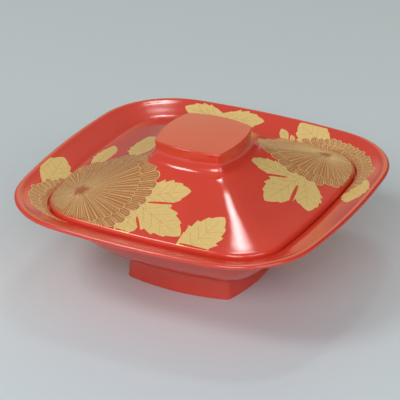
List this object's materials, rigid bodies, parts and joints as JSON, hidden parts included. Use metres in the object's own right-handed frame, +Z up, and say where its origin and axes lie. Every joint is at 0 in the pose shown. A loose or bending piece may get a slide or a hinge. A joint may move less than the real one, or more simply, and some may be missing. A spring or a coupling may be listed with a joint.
{
  "type": "lidded soup bowl",
  "caption": "Square lacquered soup bowl with bowed sides, a wide flange and a hollow foot, and a loose ridged lid with a low square grip that rests in a rebate round the mouth.",
  "frame": {"origin": "on the table, under the middle of the foot", "axes": "+Z up through the middle of the foot, bowl, lid and grip; X and Y square to the four sides"},
  "size_m": [0.18, 0.18, 0.0812],
  "materials": {
    "vermilion_lacquer": "vermilion lacquer over wood, polished to a high gloss",
    "gold_decor": "sprinkled gold powder under clear lacquer, satin"
  },
  "bodies": {
    "bowl": {"bowl_body": "vermilion_lacquer", "foot_ring": "vermilion_lacquer"},
    "lid": {"lid_body": "vermilion_lacquer", "lid_knob": "vermilion_lacquer"}
  },
  "joints": [
    {"name": "lid_lift", "type": "slide", "parent": "bowl", "child": "lid", "axis": [0, 0, 1], "range_m": [0, 0.12]}
  ]
}
